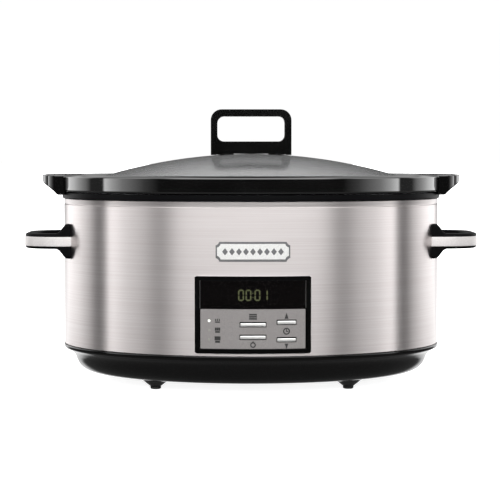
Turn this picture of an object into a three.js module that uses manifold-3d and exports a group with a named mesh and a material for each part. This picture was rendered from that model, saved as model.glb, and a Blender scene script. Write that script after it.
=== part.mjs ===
// An oval slow cooker: a steel-skinned heating base, a lift-out stoneware crock and a domed glass lid.
// Millimetres, +Z up. The origin is on the table under the middle of the cooker, and the controls face -Y.
import * as THREE from "three";
import { mergeVertices } from "three/addons/utils/BufferGeometryUtils.js";
import Module from "manifold-3d";

const wasm = await Module();
wasm.setup();

// ---------- driving dimensions ----------
const OVAL_STEPS = 56; // facets round each oval
const DEPTH_RATIO = 0.769; // every oval's depth over its width
const CLEAR = 0.3; // gap between pieces that touch

const SHELL = { radius: 182, wall: 1, low: 37.1, high: 177.4 };
const PAN = { low: 9.3, opening: 110 };
const TRIM = { low: 177.7, seat: 181.9, high: 183.3 };
const WELL = { floor: 47, wall: 1.2, flange: 183.4 };
const CROCK = { low: 52.5, floor: 61, under: 183.7, ledge: 191.2, top: 200.4, radius: 186 };
const LID = { top: 220.2, curve: 0.001037, thickness: 4, edge: 169.4, screw: 25 };
const LOOP = { half: 39.2, toe: 219.5, low: 221.5, high: 263.5, depth: 18 };
const GRIP = { reach: 218.8, half: 47, middle: 137, low: 129.6, high: 144.4, flare: 16.6 };
const PANEL = { half: 52.1, low: 40.2, high: 110.3, split: 80.7, border: 4.5 };
const BADGE = { half: 33.6, low: 123.4, high: 141.4 };
const FEET = { x: 90.5, y: 76, boss: 2.6 };
const BOARD = { front: -131.6, back: -130 };
const POWER = { low: 18, high: 19.6 };
const KEYS = [
  { name: "mode_key", x: 0, z: 66.4, width: 23 },
  { name: "power_key", x: 0, z: 55, width: 23 },
  { name: "time_up_key", x: 30.3, z: 68.4, width: 16.8 },
  { name: "time_down_key", x: 30.3, z: 52.6, width: 16.8 },
];
const KEY_HEIGHT = 3.2;
const LIGHTS = [70, 61.5, 53]; // heights of the low, high and warm lights
const LIGHT_X = -39.6;

// ---------- finishes ----------
const finish = (color, roughness, metalness) =>
  new THREE.MeshStandardMaterial({ color, roughness, metalness });
const brushedSteel = finish(0xc9c6c3, 0.32, 1);
const zincSteel = finish(0xb3b5b8, 0.4, 1);
const blackPlastic = finish(0x0d0d0e, 0.45, 0);
const glossPlastic = finish(0x0a0a0b, 0.12, 0);
const blackGlaze = finish(0x080808, 0.08, 0);
const greyPlastic = finish(0x86847f, 0.5, 0);
const silverPlastic = finish(0xd8d8d8, 0.25, 0.8);
const glass = new THREE.MeshPhysicalMaterial({ color: 0xb9c0c2, roughness: 0.05, transmission: 0.9 });
const smokedLens = finish(0x121212, 0.1, 0);
const rubber = finish(0x161616, 0.85, 0);
const circuitBoard = finish(0x24613a, 0.6, 0);
const fibreglass = finish(0xcfc8b4, 0.9, 0);
const greenLight = finish(0xb9c98a, 0.4, 0);

// ---------- solids ----------
// A closed geometry as a manifold solid; a mirrored or backwards one has its faces turned round.
function solid(geometry) {
  const bare = geometry.index ? geometry.toNonIndexed() : geometry.clone();
  bare.deleteAttribute("normal");
  bare.deleteAttribute("uv");
  const merged = mergeVertices(bare, 1e-4);
  const corners = [];
  const index = merged.index.array;
  for (let i = 0; i < index.length; i += 3) {
    const [a, b, c] = [index[i], index[i + 1], index[i + 2]];
    if (a !== b && b !== c && c !== a) corners.push(a, b, c);
  }
  const build = (triVerts) =>
    new wasm.Manifold(
      new wasm.Mesh({
        numProp: 3,
        vertProperties: new Float32Array(merged.attributes.position.array),
        triVerts: new Uint32Array(triVerts),
      }),
    );
  const made = build(corners);
  return made.volume() > 0 ? made : build(corners.reverse());
}

const join = (...solids) => solids.reduce((sum, next) => sum.add(next));
const cut = (body, ...tools) => tools.reduce((rest, tool) => rest.subtract(tool), body);

// An oval body from a profile of [half width, height] points. The profile runs from axis to axis,
// or is closed into a ring here.
function oval(profile, steps = OVAL_STEPS) {
  const points = profile.map(([r, z]) => new THREE.Vector2(r, z));
  if (points[0].x > 0) points.push(points[0].clone());
  return solid(new THREE.LatheGeometry(points, steps).rotateX(Math.PI / 2).scale(1, DEPTH_RATIO, 1));
}

const ovalDisc = (r, low, high) => oval([[0, low], [r, low], [r, high], [0, high]]);
const ovalBand = (inner, outer, low, high) =>
  oval([[inner, low], [outer, low], [outer, high], [inner, high]]);

// A round body about a vertical axis, from a profile of [radius, height] points.
function turned(profile, x = 0, y = 0, steps = 16) {
  const points = profile.map(([r, z]) => new THREE.Vector2(r, z));
  if (points[0].x > 0) points.push(points[0].clone());
  return solid(new THREE.LatheGeometry(points, steps).rotateX(Math.PI / 2).translate(x, y, 0));
}

// A round body about an axis along Y; the profile's heights are distances towards the back.
function turnedBack(profile, x, z, steps = 16) {
  const points = profile.map(([r, y]) => new THREE.Vector2(r, y));
  if (points[0].x > 0) points.push(points[0].clone());
  return solid(new THREE.LatheGeometry(points, steps).translate(x, 0, z));
}

// A round body about an axis along X; the profile's heights are distances to the right.
function turnedRight(profile, y, z, steps = 12) {
  const points = profile.map(([r, x]) => new THREE.Vector2(r, x));
  if (points[0].x > 0) points.push(points[0].clone());
  return solid(new THREE.LatheGeometry(points, steps).rotateZ(-Math.PI / 2).translate(0, y, z));
}

const peg = (radius, low, high) => [[0, low], [radius, low], [radius, high], [0, high]];

function block(x0, x1, y0, y1, z0, z1) {
  const box = new THREE.BoxGeometry(x1 - x0, y1 - y0, z1 - z0);
  return solid(box.translate((x0 + x1) / 2, (y0 + y1) / 2, (z0 + z1) / 2));
}

function roundedRect(x0, x1, y0, y1, radius) {
  const shape = new THREE.Shape();
  shape.absarc(x1 - radius, y1 - radius, radius, 0, Math.PI / 2);
  shape.absarc(x0 + radius, y1 - radius, radius, Math.PI / 2, Math.PI);
  shape.absarc(x0 + radius, y0 + radius, radius, Math.PI, 1.5 * Math.PI);
  shape.absarc(x1 - radius, y0 + radius, radius, 1.5 * Math.PI, 2 * Math.PI);
  return shape;
}

// A plan shape (X, Y) raised from one height to another.
function raised(shape, low, high, curveSegments = 5) {
  const options = { depth: high - low, bevelEnabled: false, curveSegments };
  const geometry = new THREE.ExtrudeGeometry(shape, options);
  return solid(geometry.translate(0, 0, low));
}

// A front-view shape (X, Z) carried from the front to the back.
function pushedBack(shape, front, back, curveSegments = 6) {
  const options = { depth: back - front, bevelEnabled: false, curveSegments };
  const geometry = new THREE.ExtrudeGeometry(shape, options);
  return solid(geometry.rotateX(Math.PI / 2).translate(0, back, 0));
}

// A side-view shape (Y, Z) carried from one X to another.
function pushedRight(shape, left, right) {
  const geometry = new THREE.ExtrudeGeometry(shape, { depth: right - left, bevelEnabled: false });
  return solid(geometry.rotateX(Math.PI / 2).rotateZ(Math.PI / 2).translate(left, 0, 0));
}

const outline = (points) => new THREE.Shape(points.map(([a, b]) => new THREE.Vector2(a, b)));

// What lies over the front of the shell between two ovals, inside a front-view shape.
const FRONT = { near: -150, far: -100 };
const onFront = (shape, inner, outer, low, high) =>
  pushedBack(shape, FRONT.near, FRONT.far).intersect(ovalBand(inner, outer, low, high));

function geometryOf(body) {
  const mesh = body.getMesh();
  const geometry = new THREE.BufferGeometry();
  geometry.setAttribute("position", new THREE.BufferAttribute(new Float32Array(mesh.vertProperties), 3));
  geometry.setIndex(new THREE.BufferAttribute(new Uint32Array(mesh.triVerts), 1));
  geometry.computeVertexNormals();
  return geometry;
}

function mesh(name, body, material) {
  const made = new THREE.Mesh(geometryOf(body), material);
  made.name = name;
  return made;
}

const mirrored = (body) => solid(geometryOf(body).scale(-1, 1, 1));

// ---------- heating base: casing ----------
function outerShell() {
  const { radius, wall, low, high } = SHELL;
  const window = block(-48, 48, FRONT.near, FRONT.far, PANEL.low + 5.3, PANEL.high - 4.8);
  const screwHoles = [-1, 1].flatMap((side) =>
    [-1, 1].map((end) =>
      turnedRight(peg(2.6, side < 0 ? -190 : 150, side < 0 ? -150 : 190), end * GRIP_SCREW.y, GRIP.middle),
    ),
  );
  return cut(ovalBand(radius - wall, radius, low, high), window, ...screwHoles);
}

function basePan() {
  const { low, opening } = PAN;
  const bowl = oval([
    [116, low], [148, low], [157, 10.4], [164, 13.6], [168, 17.8], [172.4, 26], [176, 30],
    [182.4, 33.5], [182.4, 36.8], [180.6, 36.8], [180.6, 40.5], [178.4, 40.5], [178.4, 35],
    [170, 28], [165, 18.6], [140, 12.2],
    [opening, 12.2], [opening, 10.9], [116, 10.9],
  ]);
  const bosses = [];
  const sockets = [];
  for (const x of [-FEET.x, FEET.x]) {
    for (const y of [-FEET.y, FEET.y]) {
      bosses.push(turned([[0, FEET.boss], [6.6, FEET.boss], [14.5, 11.2], [0, 11.2]], x, y));
      sockets.push(turned(peg(2.5, 0, 9.2), x, y, 12));
    }
  }
  return cut(join(bowl, ...bosses), ...sockets, turnedBack(peg(GLAND.neck + 0.4, 100, 150), 0, GLAND.z));
}

function bottomPlate() {
  const dish = oval([
    [0, 14], [17, 14], [22, 9.5], [115.5, 9.5], [115.5, 10.6], [22.6, 10.6], [17.4, 15.2], [0, 15.2],
  ]);
  const posts = [];
  for (const x of [-44, 44]) {
    for (const y of [-46, 32]) posts.push(turned(peg(3, 10, POWER.low - CLEAR), x, y, 12));
  }
  const vents = [];
  for (const side of [-1, 1]) {
    for (let k = 0; k < 5; k++) {
      const x = side * (64 + 8 * k);
      vents.push(block(x - 1.5, x + 1.5, -20, 20, 8, 12));
    }
  }
  return cut(join(dish, ...posts), turned(peg(3.5, 5, 20), 0, 0, 16), ...vents);
}

function topTrimRing() {
  const { low, seat, high } = TRIM;
  return oval([
    [180.6, low - 4.7], [180.6, low], [183.6, low], [183.6, high - 1], [182.6, high], [177.6, high],
    [177.6, seat], [172, seat], [172, seat - 2], [178.2, seat - 2], [178.2, low - 4.7],
  ]);
}

function rubberFoot(x, y) {
  return turned([[0, 0], [5, 0], [6.3, 1], [6.3, 2.3], [2.2, 2.3], [2.2, 8.8], [0, 8.8]], x, y);
}

const GLAND = { z: 22.4, neck: 4.4, bore: 3.4 };
function cordGland() {
  const { neck, bore } = GLAND;
  return turnedBack([
    [bore, 119], [5.1, 119], [5.1, 121], [neck, 121], [neck, 134.1], [5.9, 134.1], [5.4, 136.4],
    [bore, 136.8],
  ], 0, GLAND.z);
}

// ---------- heating base: well, heater and works ----------
function heatingWell() {
  const { floor, wall, flange } = WELL;
  return oval([
    [0, floor], [142, floor], [154, 50.5], [161, 58.5], [169.6, flange], [177, flange],
    [177, flange - wall], [170.8, flange - wall], [162.2, 58.1], [154.7, 49.4],
    [142, floor - wall], [0, floor - wall],
  ]);
}

// Half width of the well's outside at a height on its straight wall.
const wellAt = (z) => 162.2 + ((z - 58.1) * (170.8 - 162.2)) / (WELL.flange - WELL.wall - 58.1);

// A band round the well, open at the front where the controls are.
function wellBand(low, high, gap, thickness) {
  const ring = oval([
    [wellAt(low) + gap, low], [wellAt(low) + gap + thickness, low],
    [wellAt(high) + gap + thickness, high], [wellAt(high) + gap, high],
  ]);
  return cut(ring, block(-62, 62, -160, 0, 40, 120));
}

const heatShield = () =>
  cut(ovalDisc(125, 38, 39), turned(peg(4.2, 30, 45), 0, 0, 16));
const centreStud = () => turned(peg(3, 9.6, WELL.floor - WELL.wall - CLEAR));
const centreNut = () => turned([[3.9, 9.8], [6.4, 9.8], [6.4, 13.6], [3.9, 13.6]], 0, 0, 6);
const temperatureSensor = () =>
  turned([[0, 39.4], [9, 39.4], [9, 40.6], [5, 40.6], [5, 45.4], [0, 45.4]], 50, 0);
const thermalFuse = () => turnedRight(peg(2.2, -58, -44), 12, 42.2);

function powerBoard() {
  const { low, high } = POWER;
  return cut(block(-52, 52, -54, 40, low, high), turned(peg(5, 10, 30), 0, 0, 16));
}

const seat = POWER.high + CLEAR;
const relay = () => block(-40, -20, -20, -4, seat, 35);
const transformer = () => block(12, 42, -12, 16, seat, 36.5);
const capacitor = () => turned(peg(7, seat, 34), 0, 24);
const terminalBlock = () =>
  cut(block(-40, -14, 20, 33, seat, 32), ...[-35, -27, -19].map((x) => turned(peg(2, 28, 40), x, 26, 10)));

function ribbonCable() {
  const thick = 0.9;
  const side = outline([
    [-131.2, 45.6], [-131.2, 35], [-126, 28.4], [-64, 28.4], [-57, seat], [-57 + thick * 1.4, seat],
    [-63.4, 28.4 + thick], [-125.6, 28.4 + thick], [-131.2 + thick, 35.3], [-131.2 + thick, 45.6],
  ]);
  return pushedRight(side, -9, 9);
}

// ---------- controls ----------
function panelFrame() {
  const { half, low, high, border } = PANEL;
  const plate = roundedRect(-half, half, low, high, 2.4);
  const field = roundedRect(-half + border, half - border, low + 4.1, high - 3.3, 0.6);
  const ledgeHole = roundedRect(-46, 46, low + 7.4, high - 6.9, 0.6);
  const rim = cut(
    onFront(plate, 182.4, 185.4, low - 5, high + 5),
    onFront(field, 183, 190, low - 5, high + 5),
    pushedBack(ledgeHole, FRONT.near, FRONT.far),
  );
  const tube = cut(
    block(-47.5, 47.5, -142, BOARD.front - CLEAR, low + 5.8, high - 5.3),
    block(-45.7, 45.7, -150, -120, low + 7.6, high - 7.1),
  ).intersect(ovalDisc(182.7, low, high));
  return join(rim, tube);
}

const fieldHalf = PANEL.half - PANEL.border - CLEAR;

function panelFascia() {
  const { low, split } = PANEL;
  const sheet = onFront(
    roundedRect(-fieldHalf, fieldHalf, low + 4.4, split - 0.2, 0.5), 183.3, 184.9, low, split + 4);
  const keyHoles = KEYS.map((key) => pushedBack(keyShape(key, 0.35), FRONT.near, FRONT.far, 2));
  const lightHoles = LIGHTS.map((z) => turnedBack(peg(1.6, FRONT.near, FRONT.far), LIGHT_X, z, 12));
  return cut(sheet, ...keyHoles, ...lightHoles);
}

function displayLens() {
  const { high, split } = PANEL;
  return onFront(
    roundedRect(-fieldHalf, fieldHalf, split + 0.2, high - 3.6, 0.5), 183.3, 185, split - 4, high + 2);
}

function keyShape({ x, z, width }, grow) {
  const w = width / 2 + grow;
  const h = KEY_HEIGHT / 2 + grow;
  return roundedRect(x - w, x + w, z - h, z + h, 0.9);
}

function controlKey(key) {
  const cap = pushedBack(keyShape(key, 0), FRONT.near, FRONT.far, 2).intersect(ovalBand(181.4, 186, 40, 90));
  const flange = pushedBack(keyShape(key, 0.9), FRONT.near, FRONT.far, 2)
    .intersect(ovalBand(181.4, 182.9, 40, 90));
  const stem = block(key.x - 1.5, key.x + 1.5, -140, -136.2, key.z - 1.2, key.z + 1.2);
  return join(cap, flange, stem);
}

const keySwitch = ({ x, z }) =>
  join(
    block(x - 3, x + 3, -133.6, BOARD.front - CLEAR, z - 3, z + 3),
    turnedBack(peg(1.5, -134.9, -133.4), x, z, 12),
  );
const lightPipe = (z) => turnedBack(peg(1.2, -139.1, BOARD.front - CLEAR), LIGHT_X, z, 12);
const displayModule = () => block(-22, 22, -139.2, BOARD.front - CLEAR, 84, 102);
const controlBoard = () => block(-44.8, 44.8, BOARD.front, BOARD.back, 46, 102);

function badge() {
  const { half, low, high } = BADGE;
  return onFront(roundedRect(-half, half, low, high, 4), 182.4, 184.2, low - 5, high + 5);
}

// ---------- side grips ----------
// Plan of the grip's outer edge on the right, drawn in by an inset.
function gripOutline(inset) {
  const x = GRIP.reach - inset;
  const y = GRIP.half - inset;
  const shape = new THREE.Shape();
  shape.moveTo(150, -y);
  shape.lineTo(186, -y + 1);
  shape.bezierCurveTo(206, -y + 3, x, -y + 14, x, -18);
  shape.lineTo(x, 18);
  shape.bezierCurveTo(x, y - 14, 206, y - 3, 186, y - 1);
  shape.lineTo(150, y);
  return shape;
}

const GRIP_THICK = 12;
const GRIP_SCREW = { y: 38, head: 3.8, shaft: 2.1 };
const BAND = { low: 132, high: 141.2, thickness: 0.9, start: 174.4 };

// Front view of the right grip: an even bar that flares out where it meets the shell.
function gripSide() {
  const { middle, low, high, flare, reach } = GRIP;
  return outline([
    [160, middle - flare], [180.5, middle - flare], [184, middle - flare + 2.4], [188, low - 1.6],
    [193, low], [reach - 2, low], [reach + 1, low + 2.4], [reach + 1, high - 2.4], [reach - 2, high],
    [193, high], [188, high + 1.6], [184, middle + flare - 2.4], [180.5, middle + flare],
    [160, middle + flare],
  ]);
}

function gripBody() {
  const bar = cut(
    raised(gripOutline(0), 120, 160, 7),
    raised(gripOutline(GRIP_THICK), 115, 165, 7),
  ).intersect(pushedBack(gripSide(), -70, 70));
  const groove = cut(
    raised(gripOutline(-2), BAND.low - CLEAR, BAND.high + CLEAR, 7),
    raised(gripOutline(BAND.thickness + CLEAR), BAND.low - 2, BAND.high + 2, 7),
  ).intersect(block(BAND.start - CLEAR, 230, -70, 70, 120, 160));
  const screwHoles = [-1, 1].map((end) =>
    turnedRight(peg(GRIP_SCREW.shaft + 0.4, 150, 184), end * GRIP_SCREW.y, GRIP.middle));
  return cut(bar, ovalDisc(182.3, 110, 170), groove, ...screwHoles);
}

function gripBand() {
  const strip = cut(
    raised(gripOutline(0), BAND.low, BAND.high, 7),
    raised(gripOutline(BAND.thickness), BAND.low - 2, BAND.high + 2, 7),
  );
  return strip.intersect(block(BAND.start, 230, -70, 70, 120, 160));
}

const gripScrew = (end) =>
  turnedRight([[0, 164.6], [GRIP_SCREW.head, 164.6], [GRIP_SCREW.head, 167.8],
    [GRIP_SCREW.shaft, 167.8], [GRIP_SCREW.shaft, 182], [0, 182]], end * GRIP_SCREW.y, GRIP.middle);

// ---------- crock ----------
function crock() {
  const { low, floor, under, ledge, top, radius } = CROCK;
  const pot = oval([
    [0, floor], [136, floor], [146, floor + 4.5], [150.5, floor + 15], [158.5, ledge - 5.5],
    [160.5, ledge - 0.8], [162, ledge], [170.4, ledge], [171.4, top - 3.1], [174, top], [183, top],
    [185.4, top - 1], [radius, top - 2.6], [radius, under + 2.5], [183.4, under], [167.5, under],
    [166.2, under - 4], [157.4, 68],
    [152.5, 57.6], [142, low], [0, low],
  ]);
  const side = outline([
    [176, top], [198.8, top], [201.7, top - 2.7], [201.7, under + 9], [199, under + 6.6], [194, under + 4],
    [189.6, under + 0.6], [187, under - 3.4], [184.9, under - 3.4], [184.9, under + 2.8], [176, under + 2.8],
  ]);
  const plan = new THREE.Shape();
  plan.moveTo(174, -36);
  plan.lineTo(184, -34);
  plan.bezierCurveTo(196, -32, 202, -26, 202, -12);
  plan.lineTo(202, 12);
  plan.bezierCurveTo(202, 26, 196, 32, 184, 34);
  plan.lineTo(174, 36);
  const lug = pushedBack(side, -40, 40).intersect(raised(plan, under - 5, top + 2));
  return join(pot, lug, mirrored(lug));
}

// ---------- lid ----------
const domeAt = (r) => LID.top - LID.curve * r * r;
const DOME_RINGS = [0, 34, 66, 96, 124, 148];

function lidGlass() {
  const { thickness, edge, screw } = LID;
  const outside = DOME_RINGS.map((r) => [r, domeAt(r)]);
  const inside = DOME_RINGS.map((r) => [Math.max(0, r - 1.4), domeAt(r) - thickness]).reverse();
  const foot = CROCK.ledge + CLEAR;
  const rim = [[158, foot + 3.8], [edge - 0.8, foot + 3.6], [edge, foot + 2.8], [edge, foot], [157, foot]];
  const dome = oval([...outside, ...rim, ...inside]);
  return cut(dome, ...[-screw, screw].map((x) => turned(peg(3.1, 205, 225), x, 0, 16)));
}

function lidHandle() {
  const { half, toe, low, high, depth } = LOOP;
  const loop = roundedRect(-half, half, low, high, 11);
  loop.holes.push(roundedRect(-half + 6, half - 6, low + 10.8, high - 7, 6));
  const bars = [
    loop,
    roundedRect(-half, half, low, low + 10, 3),
    roundedRect(-half, 5.8 - half, toe, low + 6, 1),
    roundedRect(half - 5.8, half, toe, low + 6, 1),
  ];
  const body = join(...bars.map((bar) => pushedBack(bar, -depth / 2, depth / 2)));
  const sockets = [-LID.screw, LID.screw].map((x) => turned(peg(2.8, low - 5, low + 7.7), x, 0, 12));
  return cut(body, ...sockets);
}

const lidGasket = (x) =>
  turned([[3.2, LID.top], [7, LID.top], [7, LID.top + 0.9], [3.2, LID.top + 0.9]], x);
const WASHER = { low: LID.top - 6.5, high: LID.top - 5.6 };
const lidWasher = (x) =>
  turned([[3.2, WASHER.low], [8, WASHER.low], [8, WASHER.high], [3.2, WASHER.high]], x);
const lidScrew = (x) =>
  turned([
    [0, WASHER.low - 3.4], [3.6, WASHER.low - 3.4], [5.4, WASHER.low - 2.2], [5.4, WASHER.low - 0.3],
    [2.4, WASHER.low - 0.3], [2.4, LOOP.low + 6.7], [0, LOOP.low + 6.7],
  ], x);

// ---------- the cooker ----------
const cooker = new THREE.Group();
cooker.add(
  mesh("outer_shell", outerShell(), brushedSteel),
  mesh("base_pan", basePan(), blackPlastic),
  mesh("bottom_plate", bottomPlate(), blackPlastic),
  mesh("top_trim_ring", topTrimRing(), blackPlastic),
  mesh("cord_gland", cordGland(), rubber),
  mesh("heating_well", heatingWell(), zincSteel),
  mesh("heater_band", wellBand(62, 104, 0.5, 2), fibreglass),
  mesh("heater_clamp", wellBand(78, 88, 3, 0.9), zincSteel),
  mesh("heat_shield", heatShield(), zincSteel),
  mesh("centre_stud", centreStud(), zincSteel),
  mesh("centre_nut", centreNut(), zincSteel),
  mesh("temperature_sensor", temperatureSensor(), zincSteel),
  mesh("thermal_fuse", thermalFuse(), zincSteel),
  mesh("power_board", powerBoard(), circuitBoard),
  mesh("relay", relay(), blackPlastic),
  mesh("transformer", transformer(), zincSteel),
  mesh("capacitor", capacitor(), blackPlastic),
  mesh("terminal_block", terminalBlock(), greyPlastic),
  mesh("ribbon_cable", ribbonCable(), greyPlastic),
  mesh("control_board", controlBoard(), circuitBoard),
  mesh("panel_frame", panelFrame(), blackPlastic),
  mesh("panel_fascia", panelFascia(), greyPlastic),
  mesh("display_lens", displayLens(), smokedLens),
  mesh("display_module", displayModule(), greenLight),
  mesh("badge", badge(), silverPlastic),
  mesh("crock", crock(), blackGlaze),
  mesh("lid_glass", lidGlass(), glass),
  mesh("lid_handle", lidHandle(), glossPlastic),
);

for (const key of KEYS) {
  cooker.add(mesh(key.name, controlKey(key), silverPlastic));
  cooker.add(mesh(key.name.replace("key", "switch"), keySwitch(key), blackPlastic));
}
["low", "high", "warm"].forEach((name, k) =>
  cooker.add(mesh(name + "_light", lightPipe(LIGHTS[k]), greenLight)));

const rightGrip = gripBody();
const rightBand = gripBand();
cooker.add(mesh("right_grip", rightGrip, blackPlastic), mesh("left_grip", mirrored(rightGrip), blackPlastic));
cooker.add(
  mesh("right_grip_band", rightBand, brushedSteel),
  mesh("left_grip_band", mirrored(rightBand), brushedSteel),
);
for (const [word, end] of [["front", -1], ["back", 1]]) {
  const screw = gripScrew(end);
  cooker.add(mesh("right_grip_screw_" + word, screw, zincSteel));
  cooker.add(mesh("left_grip_screw_" + word, mirrored(screw), zincSteel));
  cooker.add(mesh("foot_" + word + "_right", rubberFoot(FEET.x, end * FEET.y), rubber));
  cooker.add(mesh("foot_" + word + "_left", rubberFoot(-FEET.x, end * FEET.y), rubber));
}
for (const [word, x] of [["left", -LID.screw], ["right", LID.screw]]) {
  cooker.add(mesh("lid_gasket_" + word, lidGasket(x), rubber));
  cooker.add(mesh("lid_washer_" + word, lidWasher(x), rubber));
  cooker.add(mesh("lid_screw_" + word, lidScrew(x), zincSteel));
}

export default cooker;
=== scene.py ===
"""The looks of an oval slow cooker: brushed steel shell, glazed crock, domed glass lid and control panel."""
import math

import bpy
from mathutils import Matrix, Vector


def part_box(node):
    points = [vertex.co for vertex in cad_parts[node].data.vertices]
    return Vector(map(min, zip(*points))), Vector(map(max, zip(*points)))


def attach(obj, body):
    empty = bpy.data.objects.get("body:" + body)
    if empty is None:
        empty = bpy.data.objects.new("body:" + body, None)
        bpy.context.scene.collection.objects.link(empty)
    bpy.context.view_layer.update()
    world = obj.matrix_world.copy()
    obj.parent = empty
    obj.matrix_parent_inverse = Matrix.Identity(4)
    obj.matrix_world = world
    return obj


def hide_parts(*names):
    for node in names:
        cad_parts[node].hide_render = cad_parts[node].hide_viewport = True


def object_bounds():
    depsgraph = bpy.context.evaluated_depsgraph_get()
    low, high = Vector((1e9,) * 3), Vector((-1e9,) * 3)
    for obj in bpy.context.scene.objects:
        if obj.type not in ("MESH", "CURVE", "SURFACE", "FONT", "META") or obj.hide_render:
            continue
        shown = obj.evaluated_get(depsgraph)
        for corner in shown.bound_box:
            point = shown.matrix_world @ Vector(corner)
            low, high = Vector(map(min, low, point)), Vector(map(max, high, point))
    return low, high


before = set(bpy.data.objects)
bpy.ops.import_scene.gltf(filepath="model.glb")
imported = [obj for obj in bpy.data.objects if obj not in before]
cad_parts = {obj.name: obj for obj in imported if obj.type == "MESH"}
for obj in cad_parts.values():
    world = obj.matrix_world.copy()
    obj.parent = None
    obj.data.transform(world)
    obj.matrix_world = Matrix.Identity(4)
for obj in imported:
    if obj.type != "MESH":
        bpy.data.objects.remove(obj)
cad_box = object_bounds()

MM = 0.001
TINY = 1e-7  # a ring this small closes to a point when its doubles are merged
OVAL_SIDES = 192
UP = Vector((0, 0, 1))


# ---------- places and sizes, from the frame ----------
def half_width(node):
    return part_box(node)[1].x


def low(node):
    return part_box(node)[0].z


def high(node):
    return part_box(node)[1].z


def middle(node):
    lowest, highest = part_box(node)
    return (lowest + highest) / 2


SHELL_X = half_width("outer_shell")
SHELL_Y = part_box("outer_shell")[1].y
DEPTH = SHELL_Y / SHELL_X  # every oval's depth over its width
PANEL_LOW, PANEL_HIGH = low("panel_frame"), high("panel_frame")
PANEL_HALF = half_width("panel_frame")
LENS_LOW, LENS_HIGH = low("display_lens"), high("display_lens")
FIELD_HALF = half_width("display_lens")
FASCIA_LOW, FASCIA_HIGH = low("panel_fascia"), high("panel_fascia")
SCREW_X = middle("lid_screw_right").x
KEYS = ("mode", "power", "time_up", "time_down")
LIGHTS = ("low_light", "high_light", "warm_light")


# ---------- camera and studio ----------
CAMERA_AT = Vector((-0.022, -1.75, 0.2229))
CAMERA_AIM = Vector((-0.001, 0, 0.12625))
CAMERA_LENS = 128.9


def set_camera():
    data = bpy.data.cameras.new("camera")
    data.lens = CAMERA_LENS
    data.sensor_width = 36
    camera = bpy.data.objects.new("camera", data)
    camera.location = CAMERA_AT
    camera.rotation_euler = (CAMERA_AIM - CAMERA_AT).to_track_quat("-Z", "Y").to_euler()
    bpy.context.scene.collection.objects.link(camera)
    bpy.context.scene.camera = camera


# ---------- shader helpers ----------
def linear(colour):
    """A linear shader colour from an sRGB hex value."""
    channels = [int(colour[k : k + 2], 16) / 255 for k in (0, 2, 4)]
    return [c / 12.92 if c <= 0.04045 else ((c + 0.055) / 1.055) ** 2.4 for c in channels] + [1]


def add_node(tree, kind, inputs=None, **settings):
    """Adds a shader node. An input given as (node, output) is linked, and any other is a plain value."""
    made = tree.nodes.new("ShaderNode" + kind)
    for name, value in settings.items():
        setattr(made, name, value)
    for name, value in (inputs or {}).items():
        if isinstance(value, tuple) and isinstance(value[0], bpy.types.Node):
            tree.links.new(value[0].outputs[value[1]], made.inputs[name])
        else:
            made.inputs[name].default_value = value
    return made


def new_finish(name, colour, **values):
    """A material with one Principled surface of this colour; returns it with its node tree and surface."""
    material = bpy.data.materials.new(name)
    material.use_nodes = True
    tree = material.node_tree
    surface = tree.nodes["Principled BSDF"]
    surface.inputs["Base Color"].default_value = linear(colour)
    for socket, value in values.items():
        surface.inputs[socket.replace("_", " ")].default_value = value
    return material, tree, surface


def on_piece(tree, spacing):
    """Places on the piece itself, counted in steps of the given distances along X, Y and Z."""
    place = add_node(tree, "TexCoord")
    return add_node(tree, "Mapping", {"Vector": (place, "Object"), "Scale": [1 / d for d in spacing]})


def grain(tree, spacing, detail=2.0):
    """Noise with features the given distances apart along X, Y and Z."""
    return add_node(tree, "TexNoise", {
        "Vector": (on_piece(tree, spacing), "Vector"), "Scale": 1.0, "Detail": detail})


def tint(tree, surface, source, dark, light, start=0.3, end=0.7):
    """The surface's colour wanders between two shades with the source's value."""
    ramp = add_node(tree, "ValToRGB", {"Fac": (source, "Fac")})
    ramp.color_ramp.elements[0].position = start
    ramp.color_ramp.elements[0].color = linear(dark)
    ramp.color_ramp.elements[1].position = end
    ramp.color_ramp.elements[1].color = linear(light)
    tree.links.new(ramp.outputs["Color"], surface.inputs["Base Color"])


def vary_roughness(tree, surface, source, smooth, rough):
    spread = add_node(tree, "MapRange", {"Value": (source, "Fac"), "To Min": smooth, "To Max": rough})
    tree.links.new(spread.outputs["Result"], surface.inputs["Roughness"])


def relief(tree, surface, source, strength, height):
    bump = add_node(tree, "Bump", {"Height": (source, "Fac"), "Strength": strength, "Distance": height})
    tree.links.new(bump.outputs["Normal"], surface.inputs["Normal"])


def mottled(name, colour, spacing, detail=2.0, shades=None, rough=None, bump=None, **values):
    """A finish with one noise, of features this far apart, that may shade, roughen and raise its surface."""
    material, tree, surface = new_finish(name, colour, **values)
    pattern = grain(tree, (spacing, spacing, spacing), detail)
    if shades:
        tint(tree, surface, pattern, *shades)
    if rough:
        vary_roughness(tree, surface, pattern, *rough)
    if bump:
        relief(tree, surface, pattern, *bump)
    return material


# ---------- finishes ----------
def brushed_stainless():
    """Stainless sheet brushed sideways with fine grit: highlights stretch up and down across the lines."""
    material, tree, steel = new_finish(
        "brushed_stainless_steel", "D2CCCB", Metallic=1.0, Roughness=0.3, Anisotropic=0.8,
        Anisotropic_Rotation=0.25)
    # the real lines are about 0.1 mm apart, drawn at 0.8 mm so that they show
    lines = grain(tree, (160 * MM, 160 * MM, 0.8 * MM), detail=3.0)
    tint(tree, steel, lines, "CDC6C5", "D6D1D0", 0.32, 0.68)
    vary_roughness(tree, steel, lines, 0.26, 0.34)
    relief(tree, steel, lines, 0.06, 0.02 * MM)
    around = add_node(tree, "Tangent", direction_type="RADIAL", axis="Z")
    tree.links.new(around.outputs["Tangent"], steel.inputs["Tangent"])
    return material


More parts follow.
